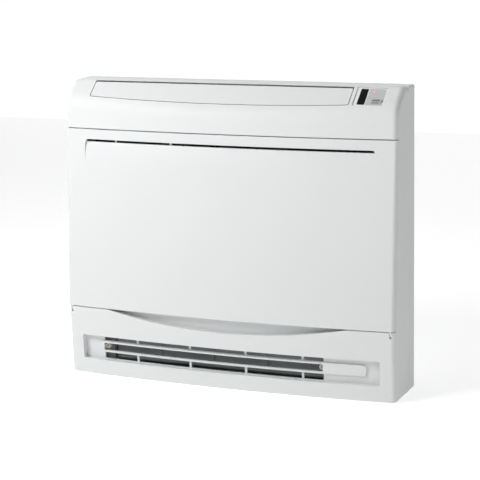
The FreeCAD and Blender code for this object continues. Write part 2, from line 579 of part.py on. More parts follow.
for i, x in enumerate(LOUVER_X):
    blade = prism_x([fa(-17, 5), fa(17, 5), fa(14, 52), fa(-17, 52)], x - 0.8, x + 0.8)
    p = fa(0, -4)
    pin = Part.makeCylinder(2.0, 20, V(x, p[0], p[1]), AV)
    p = fa(0, 4.2)
    collar = Part.makeCylinder(3.4, 10, V(x, p[0], p[1]), AV)
    p = fa(-LINK_R, 44)
    lp = Part.makeCylinder(1.5, 14, V(x, p[0], p[1]), AV)
    emit("louver_%d" % (i + 1), fuse([blade, pin, collar, lp]))

link = prism_x([fa(-17.5, 54), fa(-7.5, 54), fa(-7.5, 56), fa(-17.5, 56)], LOUVER_X[0] - 9, LOUVER_X[-1] + 9)
for x in LOUVER_X:
    link = link.cut(prism_x([fa(-15.0, 53), fa(-9.8, 53), fa(-9.8, 57), fa(-15.0, 57)], x - 1.95, x + 1.95))
emit("louver_link", link)

# vane motor on the left end, output shaft off centre
mc = sl(0, VANE_PIVOT_T, VANE_PIVOT_N - 8.0)
vm = cyl_x(14.0, -331.0, -312.0, mc.y, mc.z).fuse(cyl_x(4.8, -312.5, -310.6, pv.y, pv.z))
vm = vm.fuse(prism_x([(mc.y - 8, mc.z - 19), (mc.y + 8, mc.z - 19), (mc.y + 8, mc.z), (mc.y - 8, mc.z)], -329, -315))
vm = vm.cut(cyl_x(4.0 + RUN, -318.5, -305, pv.y, pv.z))
emit("vane_motor", vm.removeSplitter())

# ---------------------------------------------------------------- lower duct and damper
LDX = (-256.0, 196.0)
low_rear = [(96.0, 146.0), (88.0, 92.0), (62.0, 50.0), (20.0, 27.0), (-62.0, 24.0)]
low_front = [(-62.0, 94.0), (-30.0, 106.0), (-9.0, 143.0)]
rear_pl = prism_x(strip(low_rear[::-1], 2.0), LDX[0], LDX[1])
front_pl = prism_x(strip(low_front[::-1], 2.0), LDX[0], LDX[1])
end_poly = low_rear + low_front
parts = [rear_pl, front_pl, prism_x(end_poly, LDX[0] - 2, LDX[0]), prism_x(end_poly, LDX[1], LDX[1] + 2)]
for xa, xb in ((-277.0, LDX[0] - 1), (LDX[1] + 1, 217.0)):
    parts.append(box(xa, xb, -65.0, -62.0, 27, 90))
ld = fuse(parts)
dy, dz = DAMPER_AXIS
ld = ld.cut(cyl_x(3.0 + RUN, LDX[0] - 5, LDX[0] + 5, dy, dz)).cut(cyl_x(3.0 + RUN, LDX[1] - 5, LDX[1] + 5, dy, dz))
for sx in SCREW_X:
    ld = ld.cut(cyl_y(2.05, -70, -50, sx, SCREW_Z))
emit("lower_duct", ld.removeSplitter())

dm = box(LDX[0] + 1.5, LDX[1] - 1.5, dy - 1.5, dy + 1.5, dz + 2, 88).fuse(cyl_x(4.2, LDX[0] + 1.5, LDX[1] - 1.5, dy, dz))
dm = dm.fuse(cyl_x(3.0, LDX[0] - 2, LDX[0] + 2, dy, dz)).fuse(cyl_x(3.0, LDX[1] - 2, 206.0, dy, dz))
for x in (-155.0, -38.0, 78.0):
    dm = dm.fuse(box(x - 1, x + 1, dy - 4.0, dy, dz + 2, 84))
emit("lower_damper", dm.removeSplitter())

dmot = cyl_x(14.0, 200.0, 218.0, dy + 8.0, dz).fuse(box(202, 216, dy + 8, dy + 27, dz - 8, dz + 8)).fuse(cyl_x(4.6, 198.6, 201, dy, dz))
dmot = dmot.cut(cyl_x(3.0 + RUN, 190, 206.6, dy, dz))
emit("damper_motor", dmot.removeSplitter())

# ---------------------------------------------------------------- filters
FZ0, FZ1 = 166.0, 484.0
for name, x0, x1 in (("left", -291.0, -30.0), ("right", -26.0, 235.0)):
    fr = box(x0, x1, -54.0, -51.2, FZ0, FZ1)
    nx, nz = 4, 5
    cw = (x1 - x0 - 12 - (nx - 1) * 3) / nx
    ch = (FZ1 - FZ0 - 12 - (nz - 1) * 3) / nz
    win = []
    for i in range(nx):
        for j in range(nz):
            a = x0 + 6 + i * (cw + 3)
            b = FZ0 + 6 + j * (ch + 3)
            win.append(box(a, a + cw, -60, -45, b, b + ch))
    fr = cut(fr, win)
    xm = (x0 + x1) / 2
    fr = fr.fuse(box(xm - 16, xm + 16, -60.0, -54.0, FZ1 - 5, FZ1 - 2.5))
    emit("filter_" + name, fr.removeSplitter())
    emit("mesh_" + name, box(x0 + 2, x1 - 2, -51.2, -50.8, FZ0 + 2, FZ1 - 2))

fg = box(-298, 242, -50.2, -47.6, 158, 494)
win = []
nx, nz = 6, 4
cw = (540 - 16 - (nx - 1) * 6) / nx
ch = (336 - 16 - (nz - 1) * 6) / nz
for i in range(nx):
    for j in range(nz):
        a = -298 + 8 + i * (cw + 6)
        b = 158 + 8 + j * (ch + 6)
        win.append(box(a, a + cw, -60, -40, b, b + ch))
fg = cut(fg, win)
emit("filter_guide", fg)

# ---------------------------------------------------------------- heat exchanger
HX = (-282.0, 226.0)
HY = (-44.0, -19.0)
HZ = (172.0, 476.0)
TR = 3.5
rows = [HZ[0] + 12.5 + 25.0 * i for i in range(12)]
cols = (-38.0, -25.0)
NF, FT = 48, 0.5
fin = box(HX[0], HX[0] + FT, HY[0], HY[1], HZ[0], HZ[1])
fin = cut(fin, [cyl_x(TR + 0.15, HX[0] - 5, HX[0] + 5, y, z) for y in cols for z in rows])
fins = []
for i in range(NF):
    f = fin.copy()
    f.translate(V(4.0 + (HX[1] - HX[0] - 8.0 - FT) * i / (NF - 1), 0, 0))
    fins.append(f)
emit("hx_fins", Part.makeCompound(fins))
emit("hx_end_plate_left", box(HX[0] - 2, HX[0], HY[0] - 2, HY[1] + 2, HZ[0] - 4, HZ[1] + 4))
emit("hx_end_plate_right", box(HX[1], HX[1] + 2, HY[0] - 2, HY[1] + 2, HZ[0] - 4, HZ[1] + 4))


def u_bend(xp, sgn, p, q2):
    """Hairpin bend outside an end plate at xp between two tube ends p and q2 given as (y, z)."""
    xe = xp + sgn * 4.0
    ym, zm = (p[0] + q2[0]) / 2, (p[1] + q2[1]) / 2
    r = math.hypot(p[0] - q2[0], p[1] - q2[1]) / 2
    c = Part.Face(Part.Wire([Part.makeCircle(TR, V(xe, p[0], p[1]), V(1, 0, 0))]))
    dvec = V(0, q2[0] - p[0], q2[1] - p[1]).normalize()
    ax = dvec.cross(V(sgn, 0, 0))
    b = c.revolve(V(xe, ym, zm), ax, 180)
    if (b.BoundBox.XMax - xe) * sgn < 1.0 and (b.BoundBox.XMin - xe) * sgn < 1.0:
        b = c.revolve(V(xe, ym, zm), ax * -1, 180)
    x0, x1 = sorted((xp, xe))
    return fuse([b, cyl_x(TR, x0, x1, p[0], p[1]), cyl_x(TR, x0, x1, q2[0], q2[1])])


bends = []
for y in cols:
    for z in rows:
        bends.append(cyl_x(TR, HX[0], HX[1], y, z).cut(cyl_x(TR - 0.4, HX[0] - 5, HX[1] + 5, y, z)))
for y in cols:
    for i in range(0, 12, 2):
        bends.append(u_bend(HX[1] + 2, 1, (y, rows[i]), (y, rows[i + 1])))
    for i in range(1, 11, 2):
        bends.append(u_bend(HX[0] - 2, -1, (y, rows[i]), (y, rows[i + 1])))
bends.append(u_bend(HX[0] - 2, -1, (cols[0], rows[11]), (cols[1], rows[11])))
emit("hx_tubes", Part.makeCompound(bends))

GAS_X, LIQ_X = -326.0, -300.0
gas = tube([(HX[0] - 2, cols[0], rows[0]), (GAS_X, cols[0], rows[0]), (GAS_X, cols[0], 85.0)], 4.76, 16.0)
emit("gas_pipe", gas)
liq = tube([(HX[0] - 2, cols[1], rows[0]), (LIQ_X, cols[1], rows[0]), (LIQ_X, cols[1], 80.0)], 3.18, 10.0)
emit("liquid_pipe", liq)
GAS_R, LIQ_R = 7.94, 5.56
un = [
    fuse([hexagon_z(22, 62, 85, GAS_X, cols[0]), cyl_z(GAS_R, 42, 62, GAS_X, cols[0])]).cut(cyl_z(4.0, 30, 70, GAS_X, cols[0])),
    fuse([hexagon_z(17, 62, 80, LIQ_X, cols[1]), cyl_z(LIQ_R, 44, 62, LIQ_X, cols[1])]).cut(cyl_z(2.4, 30, 70, LIQ_X, cols[1])),
]
emit("pipe_unions", Part.makeCompound(un))

# drain pan with its spout
dp = box(-292, 240, -47.2, -14, 146, 166).cut(box(-289.5, 237.5, -44.7, -16.5, 148.5, 170))
DR = (-280.0, -33.0)
dp = dp.fuse(cyl_z(9.0, 116, 147, DR[0], DR[1])).cut(cyl_z(7.0, 110, 160, DR[0], DR[1]))
emit("drain_pan", dp.removeSplitter())

# ---------------------------------------------------------------- fan, motor, orifice
OR = (-306.0, 250.0, 150.0, 484.0)
plate = box(OR[0], OR[1], -14, -11.5, OR[2], OR[3]).cut(cyl_y(129, -30, 10, XF, ZF))
mouth = turn_y([(130, -14), (118, -11), (110, -5), (106, 2), (106, 8), (108.5, 8), (108.5, 2.5), (112, -3), (119.5, -8.6), (130, -11.5)], XF, ZF)
orifice = plate.fuse(mouth)
OS = [(-298.0, 158.0), (242.0, 158.0), (-298.0, 476.0), (242.0, 476.0)]
for x, z in OS:
    orifice = orifice.cut(cyl_y(2.1, -30, 0, x, z))
emit("fan_orifice", orifice.removeSplitter())

back = turn_y([(SHAFT_R + 0.02, 20), (12, 20), (12, 25.5), (48, 29), (57, 60), (63, 66), (FAN_R, 68), (FAN_R, 70.5), (62, 68.6), (54.5, 62), (46, 31.6), (12, 28.2), (12, 36), (SHAFT_R + 0.02, 36)], XF, ZF)
ring = turn_y([(109.8, 10.5), (112, 10.5), (113, 14.5), (FAN_R, 17.5), (FAN_R, 20), (112, 17), (109.8, 14)], XF, ZF)
blades = []
NB = 9
for k in range(NB):
    a0 = 2 * math.pi * k / NB
    up, dn = [], []
    for j in range(9):
        s = j / 8.0
        r = 112 + (FAN_R - 1 - 112) * s
        ang = a0 - 0.62 * s
        # direction along the blade
        s2 = s + 0.01
        r2 = 112 + (FAN_R - 1 - 112) * s2
        ang2 = a0 - 0.62 * s2
        px, pz = r * math.cos(ang), r * math.sin(ang)
        tx, tz = r2 * math.cos(ang2) - px, r2 * math.sin(ang2) - pz
        L = math.hypot(tx, tz)
        nx_, nz_ = -tz / L, tx / L
        th = 1.6 * (1 - 0.5 * s)
        up.append((XF + px + nx_ * th, ZF + pz + nz_ * th))
        dn.append((XF + px - nx_ * th, ZF + pz - nz_ * th))
    blades.append(prism_y(up + dn[::-1], 18.2, 68.6))
fan = back.fuse(ring)
for b in blades:
    fan = fan.fuse(b)
emit("turbo_fan", fan.removeSplitter())
emit("motor_shaft", cyl_y(SHAFT_R, 9.0, 88.0, XF, ZF))
nut = fuse([hexagon_y(13, 13.5, 18.5, XF, ZF), cyl_y(9.5, 18.5, 20.0, XF, ZF)]).cut(cyl_y(SHAFT_R + 0.02, 0, 30, XF, ZF))
emit("fan_nut", nut)
motor = fuse([cyl_y(44.0, 52, 93, XF, ZF), cyl_y(40.0, 49, 95, XF, ZF), cyl_y(11.0, 42, 50, XF, ZF)])
lugs = []
for k in range(3):
    a = math.radians(90 + 120 * k)
    lx, lz = XF + 49 * math.cos(a), ZF + 49 * math.sin(a)
    lugs.append(cyl_y(9.0, 89, 93, lx, lz))
motor = fuse([motor] + lugs).cut(cyl_y(SHAFT_R + RUN, 30, 90, XF, ZF))
for k in range(3):
    a = math.radians(90 + 120 * k)
    lx, lz = XF + 49 * math.cos(a), ZF + 49 * math.sin(a)
    motor = motor.cut(cyl_y(2.6, 80, 100, lx, lz))
emit("fan_motor", motor.removeSplitter())
bushes, bscrews = [], []
brk = cyl_y(66.0, 97.5, 101.0, XF, ZF).cut(cyl_y(30.0, 90, 110, XF, ZF))
for k in range(3):
    a = math.radians(90 + 120 * k)
    lx, lz = XF + 49 * math.cos(a), ZF + 49 * math.sin(a)
    bushes.append(cyl_y(8.0, 93, 97.5, lx, lz).cut(cyl_y(2.3, 80, 110, lx, lz)))
    brk = brk.cut(cyl_y(2.05, 80, 110, lx, lz))
    # cross-recessed pan screws through lug, bush and bracket
    bscrews.append(fuse([cyl_y(4.0, 86.6, 89.0, lx, lz), cyl_y(2.0, 88.5, 100.5, lx, lz)]))
emit("motor_bushes", Part.makeCompound(bushes))
emit("motor_bracket", brk)

# curved air guides left and right of the fan, with flanges behind the orifice plate
for name, sg in (("left", -1), ("right", 1)):
    xi = XF + sg * 122.0
    xo = XF + sg * 278.0
    b0, b1 = sorted((xi, xo))
    reg = box(b0, b1, -11.5, 98.0, 168.0, 478.0)
    wall = cyl_y(170.5, -11.5, 98.0, XF, ZF).cut(cyl_y(168.0, -20, 110, XF, ZF)).common(reg)
    p0, p1 = sorted((xi, xi + sg * 2.5))
    ex = math.sqrt(168.0 ** 2 - 122.0 ** 2)
    fl = box(b0, b1, -11.5, -9.0, 168.0, 478.0).cut(cyl_y(168.0, -20, 110, XF, ZF))
    g = fuse([wall, box(p0, p1, -11.5, 98.0, ZF + ex - 1, 478.0), box(p0, p1, -11.5, 98.0, 168.0, ZF - ex + 1), fl])
    for x, z in OS:
        g = g.cut(cyl_y(2.1, -30, 4, x, z))
    emit("scroll_" + name, g)
for x, z in OS:
    if z > 170:
        bscrews.append(fuse([cyl_y(4.0, -16.4, -14, x, z), cyl_y(2.0, -14.5, 1.5, x, z)]))
emit("chassis_screws", Part.makeCompound(bscrews))

# ---------------------------------------------------------------- control box
CB = (262.0, 342.0, -45.0, 34.0, 165.0, 470.0)
cb = box(*CB).cut(box(CB[0] + 1.6, CB[1] - 1.6, CB[2] - 1, CB[3] - 1.6, CB[4] + 1.6, CB[5] - 1.6))
for x in (272.0, 332.0):
    for z in (222.0, 448.0):
        cb = cb.fuse(cyl_y(3.0, 21.6, 33.0, x, z))
emit("control_box", cb.removeSplitter())
cc = box(CB[0], CB[1], -46.4, -45.0, CB[4], CB[5]).fuse(box(CB[0] + 14, CB[1] - 14, -48.4, -46.0, CB[4] + 30, CB[5] - 30))
emit("control_box_cover", cc.removeSplitter())
emit("main_board", box(267, 337, 20.0, 21.6, 214, 456))
bp = []
for x, z, r, h in ((285, 240, 9, 26), (308, 240, 9, 26), (325, 262, 6, 18), (280, 430, 5, 12), (295, 430, 5, 12)):
    bp.append(cyl_y(r, 20 - h, 20, x, z))
for x, z, a, b, h in ((290, 285, 30, 24, 22), (322, 300, 16, 20, 16), (300, 350, 22, 22, 3), (280, 385, 18, 8, 9), (310, 385, 22, 8, 9), (325, 425, 14, 10, 9), (300, 320, 40, 8, 14)):
    bp.append(box(x - a / 2, x + a / 2, 20 - h, 20, z - b / 2, z + b / 2))
emit("board_parts", Part.makeCompound(bp))
tb = box(270, 334, 12, 32.4, 172, 200)
for i in range(5):
    tb = tb.cut(box(273 + i * 12, 282 + i * 12, 8, 18, 171, 201))
for i in range(5):
    tb = tb.fuse(cyl_y(3.4, 15, 18.5, 277.5 + i * 12, 186))
emit("terminal_block", tb.removeSplitter())
th = fuse([box(246, 262, -38, -30, 486, 492).cut(box(250, 263, -37, -31, 480, 487)), cyl_x(2.4, 222, 247, -34, 489)])
emit("air_thermistor", th)

# outlet selector switch behind the panel
ysw = bow_y(115.0 - 21.0 * (300 - 141.0) / 366.0, 286.0)
emit("selector_housing", box(279, 293, ysw + 2.2, ysw + 12, 287, 318))
kn = box(283.0, 289.0, ysw - 5.0, ysw + 1.9, 292.0, 302.0)
kn = kn.makeFillet(1.0, [e for e in kn.Edges if e.BoundBox.YMax < ysw - 4.9])
emit("outlet_selector", kn)

# ---------------------------------------------------------------- display module set into the slope
DN = -2.2               # depth of the module's face below the slope
bz = sl_box(258.9, 318.6, 2.9, 49.6, DN - 3.0, DN + 0.2, 2.8)
bz = bz.fuse(sl_box(258.9, 260.9, 6, 46, DN - 9.4, DN - 2.5)).fuse(sl_box(316.6, 318.6, 6, 46, DN - 9.4, DN - 2.5))
bz = bz.cut(sl_box(266.2, 281.4, 5.2, 46.2, -20, 5, 1.5))
bz = bz.cut(sl_box(283.0, 316.5, 5.0, 47.5, DN - 0.9, 5, 2.0))
bz = bz.cut(sl_box(292.6, 311.4, 30.2, 43.0, -20, 5, 1.2))
bz = bz.cut(sl_box(289.6, 297.0, 8.4, 16.4, -20, 5, 2.6))
emit("display_bezel", bz.removeSplitter())
emit("ir_window", sl_box(266.4, 281.2, 5.4, 46.0, DN - 2.6, DN + 0.5, 1.3))
dpl = sl_box(283.2, 316.3, 5.2, 47.3, DN - 0.9, DN + 0.1, 1.8)
dpl = dpl.cut(sl_box(292.6, 311.4, 30.2, 43.0, -20, 5, 1.2)).cut(sl_box(289.6, 297.0, 8.4, 16.4, -20, 5, 2.6))
emit("display_plate", dpl)
emit("led_lens", sl_box(289.8, 296.8, 8.6, 16.2, DN - 3.0, DN + 0.5, 2.4))
emit("mode_button", sl_box(293.0, 311.0, 30.6, 42.6, DN - 6.0, DN + 0.7, 1.0))
emit("display_board", sl_box(259.5, 318.0, 4.0, 48.0, DN - 11.0, DN - 9.4))

# grille screws
gs = []
for sx in SCREW_X:
    yb = bow_y(105.5, sx)
    gs.append(fuse([cyl_y(3.3, yb - 2.2, yb, sx, SCREW_Z), cyl_y(2.0, yb - 0.5, -58.0, sx, SCREW_Z)]).cut(
        fuse([box(sx - 2.0, sx + 2.0, yb - 3, yb - 1.2, SCREW_Z - 0.45, SCREW_Z + 0.45), box(sx - 0.45, sx + 0.45, yb - 3, yb - 1.2, SCREW_Z - 2.0, SCREW_Z + 2.0)])))
emit("grille_screws", Part.makeCompound(gs))

print("nodes", len(nodes))
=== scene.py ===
import bpy
import json
import math
from mathutils import Matrix, Vector


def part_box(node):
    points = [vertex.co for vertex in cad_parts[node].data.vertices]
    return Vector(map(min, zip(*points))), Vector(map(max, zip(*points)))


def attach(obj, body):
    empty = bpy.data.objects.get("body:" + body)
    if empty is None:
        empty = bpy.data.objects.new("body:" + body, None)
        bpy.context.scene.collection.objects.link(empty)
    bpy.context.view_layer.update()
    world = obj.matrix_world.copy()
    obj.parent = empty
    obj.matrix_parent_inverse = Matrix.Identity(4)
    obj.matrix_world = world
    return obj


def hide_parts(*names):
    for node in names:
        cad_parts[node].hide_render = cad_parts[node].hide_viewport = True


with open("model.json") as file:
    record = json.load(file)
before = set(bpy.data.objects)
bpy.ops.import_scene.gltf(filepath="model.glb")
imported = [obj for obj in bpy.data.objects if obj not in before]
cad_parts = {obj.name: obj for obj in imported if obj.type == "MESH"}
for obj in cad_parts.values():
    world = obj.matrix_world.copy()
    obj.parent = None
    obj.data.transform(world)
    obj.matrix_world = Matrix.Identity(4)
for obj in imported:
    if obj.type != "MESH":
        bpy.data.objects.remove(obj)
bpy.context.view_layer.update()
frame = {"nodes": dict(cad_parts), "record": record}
NODES = frame["nodes"]
REC = frame["record"]
SLOT_OF = {s["node"]: s["material_slot"] for s in REC["subparts"]}


# ------------------------------------------------------------------ materials
def new_mat(name):
    m = bpy.data.materials.new(name)
    m.use_nodes = True
    nt = m.node_tree
    nt.nodes.clear()
    out = nt.nodes.new("ShaderNodeOutputMaterial")
    bs = nt.nodes.new("ShaderNodeBsdfPrincipled")
    nt.links.new(bs.outputs["BSDF"], out.inputs["Surface"])
    tc = nt.nodes.new("ShaderNodeTexCoord")
    return m, nt, bs, tc


def noise(nt, tc, scale, detail=2.0, rough=0.5, stretch=None):
    n = nt.nodes.new("ShaderNodeTexNoise")
    n.inputs["Scale"].default_value = scale
    n.inputs["Detail"].default_value = detail
    n.inputs["Roughness"].default_value = rough
    if stretch:
        mp = nt.nodes.new("ShaderNodeMapping")
        mp.inputs["Scale"].default_value = stretch
        nt.links.new(tc.outputs["Object"], mp.inputs["Vector"])
        nt.links.new(mp.outputs["Vector"], n.inputs["Vector"])
    else:
        nt.links.new(tc.outputs["Object"], n.inputs["Vector"])
    return n


def ramp(nt, src, stops):
    r = nt.nodes.new("ShaderNodeValToRGB")
    el = r.color_ramp.elements
    while len(el) > 1:
        el.remove(el[-1])
    el[0].position = stops[0][0]
    el[0].color = stops[0][1] + (1.0,)
    for p, c in stops[1:]:
        e = el.new(p)
        e.color = c + (1.0,)
    nt.links.new(src, r.inputs["Fac"])
    return r


def rng(nt, src, a, b, lo=0.3, hi=0.7):
    m = nt.nodes.new("ShaderNodeMapRange")
    m.inputs["From Min"].default_value = lo
    m.inputs["From Max"].default_value = hi
    m.inputs["To Min"].default_value = a
    m.inputs["To Max"].default_value = b
    nt.links.new(src, m.inputs["Value"])
    return m


def bump(nt, bs, src, strength, dist):
    b = nt.nodes.new("ShaderNodeBump")
    b.inputs["Strength"].default_value = strength
    b.inputs["Distance"].default_value = dist
    nt.links.new(src, b.inputs["Height"])
    nt.links.new(b.outputs["Normal"], bs.inputs["Normal"])
    return b


def tint(c, k):
    return tuple(min(1.0, max(0.0, v * k)) for v in c)


def plastic(name, col, rough=(0.34, 0.44), vary=0.02, grain=2600.0, depth=0.00004, spec=0.5, coat=0.0):
    """Moulded plastic: a broad, very faint shade drift, spark-eroded grain, and roughness that follows the grain."""
    m, nt, bs, tc = new_mat(name)
    broad = noise(nt, tc, 6.0, 3.0)
    cr = ramp(nt, broad.outputs["Fac"], [(0.3, tint(col, 1.0 - vary)), (0.7, tint(col, 1.0 + vary * 0.5))])
    nt.links.new(cr.outputs["Color"], bs.inputs["Base Color"])
    fine = noise(nt, tc, grain, 2.0, 0.6)
    mid = noise(nt, tc, 38.0, 3.0)
    rr = rng(nt, mid.outputs["Fac"], rough[0], rough[1])
    nt.links.new(rr.outputs["Result"], bs.inputs["Roughness"])
    bump(nt, bs, fine.outputs["Fac"], 0.25, depth)
    bs.inputs["Specular IOR Level"].default_value = spec
    if coat:
        bs.inputs["Coat Weight"].default_value = coat
        bs.inputs["Coat Roughness"].default_value = 0.12
    return m


def metal(name, col, rough=(0.28, 0.45), stretch=(1.0, 1.0, 1.0), scale=60.0, vary=0.08, depth=0.00003):
    m, nt, bs, tc = new_mat(name)
    n = noise(nt, tc, scale, 4.0, 0.6, stretch)
    cr = ramp(nt, n.outputs["Fac"], [(0.3, tint(col, 1 - vary)), (0.7, tint(col, 1 + vary))])
    nt.links.new(cr.outputs["Color"], bs.inputs["Base Color"])
    rr = rng(nt, n.outputs["Fac"], rough[0], rough[1])
    nt.links.new(rr.outputs["Result"], bs.inputs["Roughness"])
    bump(nt, bs, n.outputs["Fac"], 0.3, depth)
    bs.inputs["Metallic"].default_value = 1.0
    return m


def galvanised(name):
    m, nt, bs, tc = new_mat(name)
    v = nt.nodes.new("ShaderNodeTexVoronoi")
    v.inputs["Scale"].default_value = 95.0
    nt.links.new(tc.outputs["Object"], v.inputs["Vector"])
    cr = ramp(nt, v.outputs["Color"], [(0.1, (0.50, 0.52, 0.54)), (0.5, (0.60, 0.62, 0.63)), (0.9, (0.68, 0.70, 0.71))])
    nt.links.new(cr.outputs["Color"], bs.inputs["Base Color"])
    rr = rng(nt, v.outputs["Distance"], 0.34, 0.52, 0.0, 0.8)
    nt.links.new(rr.outputs["Result"], bs.inputs["Roughness"])
    bump(nt, bs, v.outputs["Distance"], 0.15, 0.00005)
    bs.inputs["Metallic"].default_value = 0.85
    return m


def board_mat(name):
    """Solder mask over copper tracks: a grid of square cells with darker tracks between."""
    m, nt, bs, tc = new_mat(name)
    br = nt.nodes.new("ShaderNodeTexBrick")
    br.inputs["Scale"].default_value = 90.0
    br.inputs["Color1"].default_value = (0.02, 0.16, 0.07, 1)
    br.inputs["Color2"].default_value = (0.02, 0.20, 0.09, 1)
    br.inputs["Mortar"].default_value = (0.05, 0.30, 0.14, 1)
    br.inputs["Mortar Size"].default_value = 0.03
    sep = nt.nodes.new("ShaderNodeMapping")
    sep.inputs["Rotation"].default_value = (math.pi / 2, 0, 0)
    nt.links.new(tc.outputs["Object"], sep.inputs["Vector"])
    nt.links.new(sep.outputs["Vector"], br.inputs["Vector"])
    nt.links.new(br.outputs["Color"], bs.inputs["Base Color"])
    n = noise(nt, tc, 300.0)
    rr = rng(nt, n.outputs["Fac"], 0.25, 0.4)
    nt.links.new(rr.outputs["Result"], bs.inputs["Roughness"])
    bump(nt, bs, br.outputs["Fac"], 0.2, 0.00004)
    return m


WHITE = (0.706, 0.719, 0.719)
MATS = {
    "white_case": plastic("white_case_pl", WHITE, (0.50, 0.58), 0.008, 2600.0, 0.00004, 0.22),
    "white_panel": plastic("white_panel_pl", WHITE, (0.42, 0.50), 0.008, 3200.0, 0.00002, 0.28),
    "rear_case": plastic("rear_case_pl", (0.70, 0.713, 0.713), (0.50, 0.58), 0.012, 2600.0, 0.00004, 0.25),
    "dark_plastic": plastic("dark_plastic_pl", (0.22, 0.24, 0.24), (0.42, 0.56), 0.10, 1800.0, 0.00006),
    "duct_plastic": plastic("duct_plastic_pl", (0.20, 0.22, 0.22), (0.45, 0.60), 0.10, 1500.0, 0.00006),
    "fan_plastic": plastic("fan_plastic_pl", (0.10, 0.11, 0.115), (0.40, 0.52), 0.08, 1500.0, 0.00006),
    "filter_plastic": plastic("filter_plastic_pl", (0.03, 0.033, 0.036), (0.42, 0.55), 0.10, 1800.0, 0.00005),
    "filter_net": plastic("filter_net_pl", (0.05, 0.055, 0.06), (0.5, 0.65), 0.15, 4000.0, 0.00005),
    "bezel": plastic("bezel_pl", (0.76, 0.775, 0.78), (0.30, 0.40), 0.02),
    "black_gloss": plastic("black_gloss_pl", (0.003, 0.003, 0.0035), (0.22, 0.30), 0.2, 900.0, 0.000004, 0.06),
    "display_grey": plastic("display_grey_pl", (0.47, 0.485, 0.485), (0.20, 0.28), 0.03, 1200.0, 0.00001),
    "led": plastic("led_pl", (0.84, 0.44, 0.50), (0.15, 0.22), 0.05, 900.0, 0.00001),
    "button": plastic("button_pl", (0.47, 0.48, 0.485), (0.30, 0.40), 0.03, 2400.0, 0.00003),
    "fin_aluminium": metal("fin_aluminium_m", (0.72, 0.75, 0.77), (0.28, 0.42), (1, 1, 0.1), 200.0),
    "copper": metal("copper_m", (0.70, 0.34, 0.20), (0.22, 0.40), (0.2, 1, 1), 120.0, 0.12),
    "brass": metal("brass_m", (0.33, 0.29, 0.13), (0.22, 0.36), (1, 1, 1), 240.0, 0.15),
    "galvanised": galvanised("galvanised_m"),
    "steel": metal("steel_m", (0.56, 0.57, 0.58), (0.22, 0.36), (1, 1, 1), 300.0),
    "rubber": plastic("rubber_m", (0.018, 0.018, 0.019), (0.62, 0.80), 0.15, 1200.0, 0.00008, 0.3),
    "board": board_mat("board_m"),
    "components": plastic("components_pl", (0.03, 0.03, 0.033), (0.35, 0.5), 0.2, 1400.0, 0.00005),
}
for n, ob in NODES.items():
    m = MATS[SLOT_OF[n]]
    if not ob.material_slots:
        ob.data.materials.append(m)
    for s in ob.material_slots:
        s.material = m


# ------------------------------------------------------------------ mesh helpers
def piece(name, verts, faces, slot, body, mat=None, smooth=False):
    me = bpy.data.meshes.new(name)
    me.from_pydata([tuple(v) for v in verts], [], faces)
    me.update()
    if smooth:
        for p in me.polygons:
            p.use_smooth = True
    ob = bpy.data.objects.new(name, me)
    bpy.context.scene.collection.objects.link(ob)
    me.materials.append(mat or MATS[slot])
    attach(ob, body)
    return ob


def prism(pts, d, verts, faces):
    """Closed prism: a convex outline (counter-clockwise seen against d) pushed along d."""
    b = len(verts)
    n = len(pts)
    verts += [tuple(p) for p in pts] + [tuple(Vector(p) + Vector(d)) for p in pts]
    faces.append(tuple(b + i for i in range(n))[::-1])
    faces.append(tuple(b + n + i for i in range(n)))
    for i in range(n):
        j = (i + 1) % n
        faces.append((b + i, b + j, b + n + j, b + n + i))


# ------------------------------------------------------------------ fin pack of the heat exchanger
lo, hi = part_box("hx_fins")
x0, x1 = lo.x - 0.002, hi.x + 0.002
PITCH, TH, NSEG = 0.0018, 0.00022, 6
verts, faces = [], []
count = int((x1 - x0) / PITCH)
for i in range(count):
    xc = x0 + PITCH * (i + 0.5)
    b = len(verts)
    for side in (-1, 1):
        for k in range(NSEG + 1):
            y = lo.y + (hi.y - lo.y) * k / NSEG
            zig = 0.00045 * (1 if k % 2 else -1)
            for z in (lo.z, hi.z):
                verts.append((xc + zig + side * TH / 2, y, z))
    n = 2 * (NSEG + 1)
    for k in range(NSEG):
        a = b + 2 * k
        faces.append((a, a + 1, a + 3, a + 2))
        c = b + n + 2 * k
        faces.append((c, c + 2, c + 3, c + 1))
        faces.append((a, a + 2, c + 2, c))
        faces.append((a + 1, c + 1, c + 3, a + 3))
    faces.append((b, b + n, b + n + 1, b + 1))
    e = b + 2 * NSEG
    faces.append((e, e + 1, e + n + 1, e + n))
fins = piece("fin_pack", verts, faces, "fin_aluminium", "cabinet")
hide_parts("hx_fins")


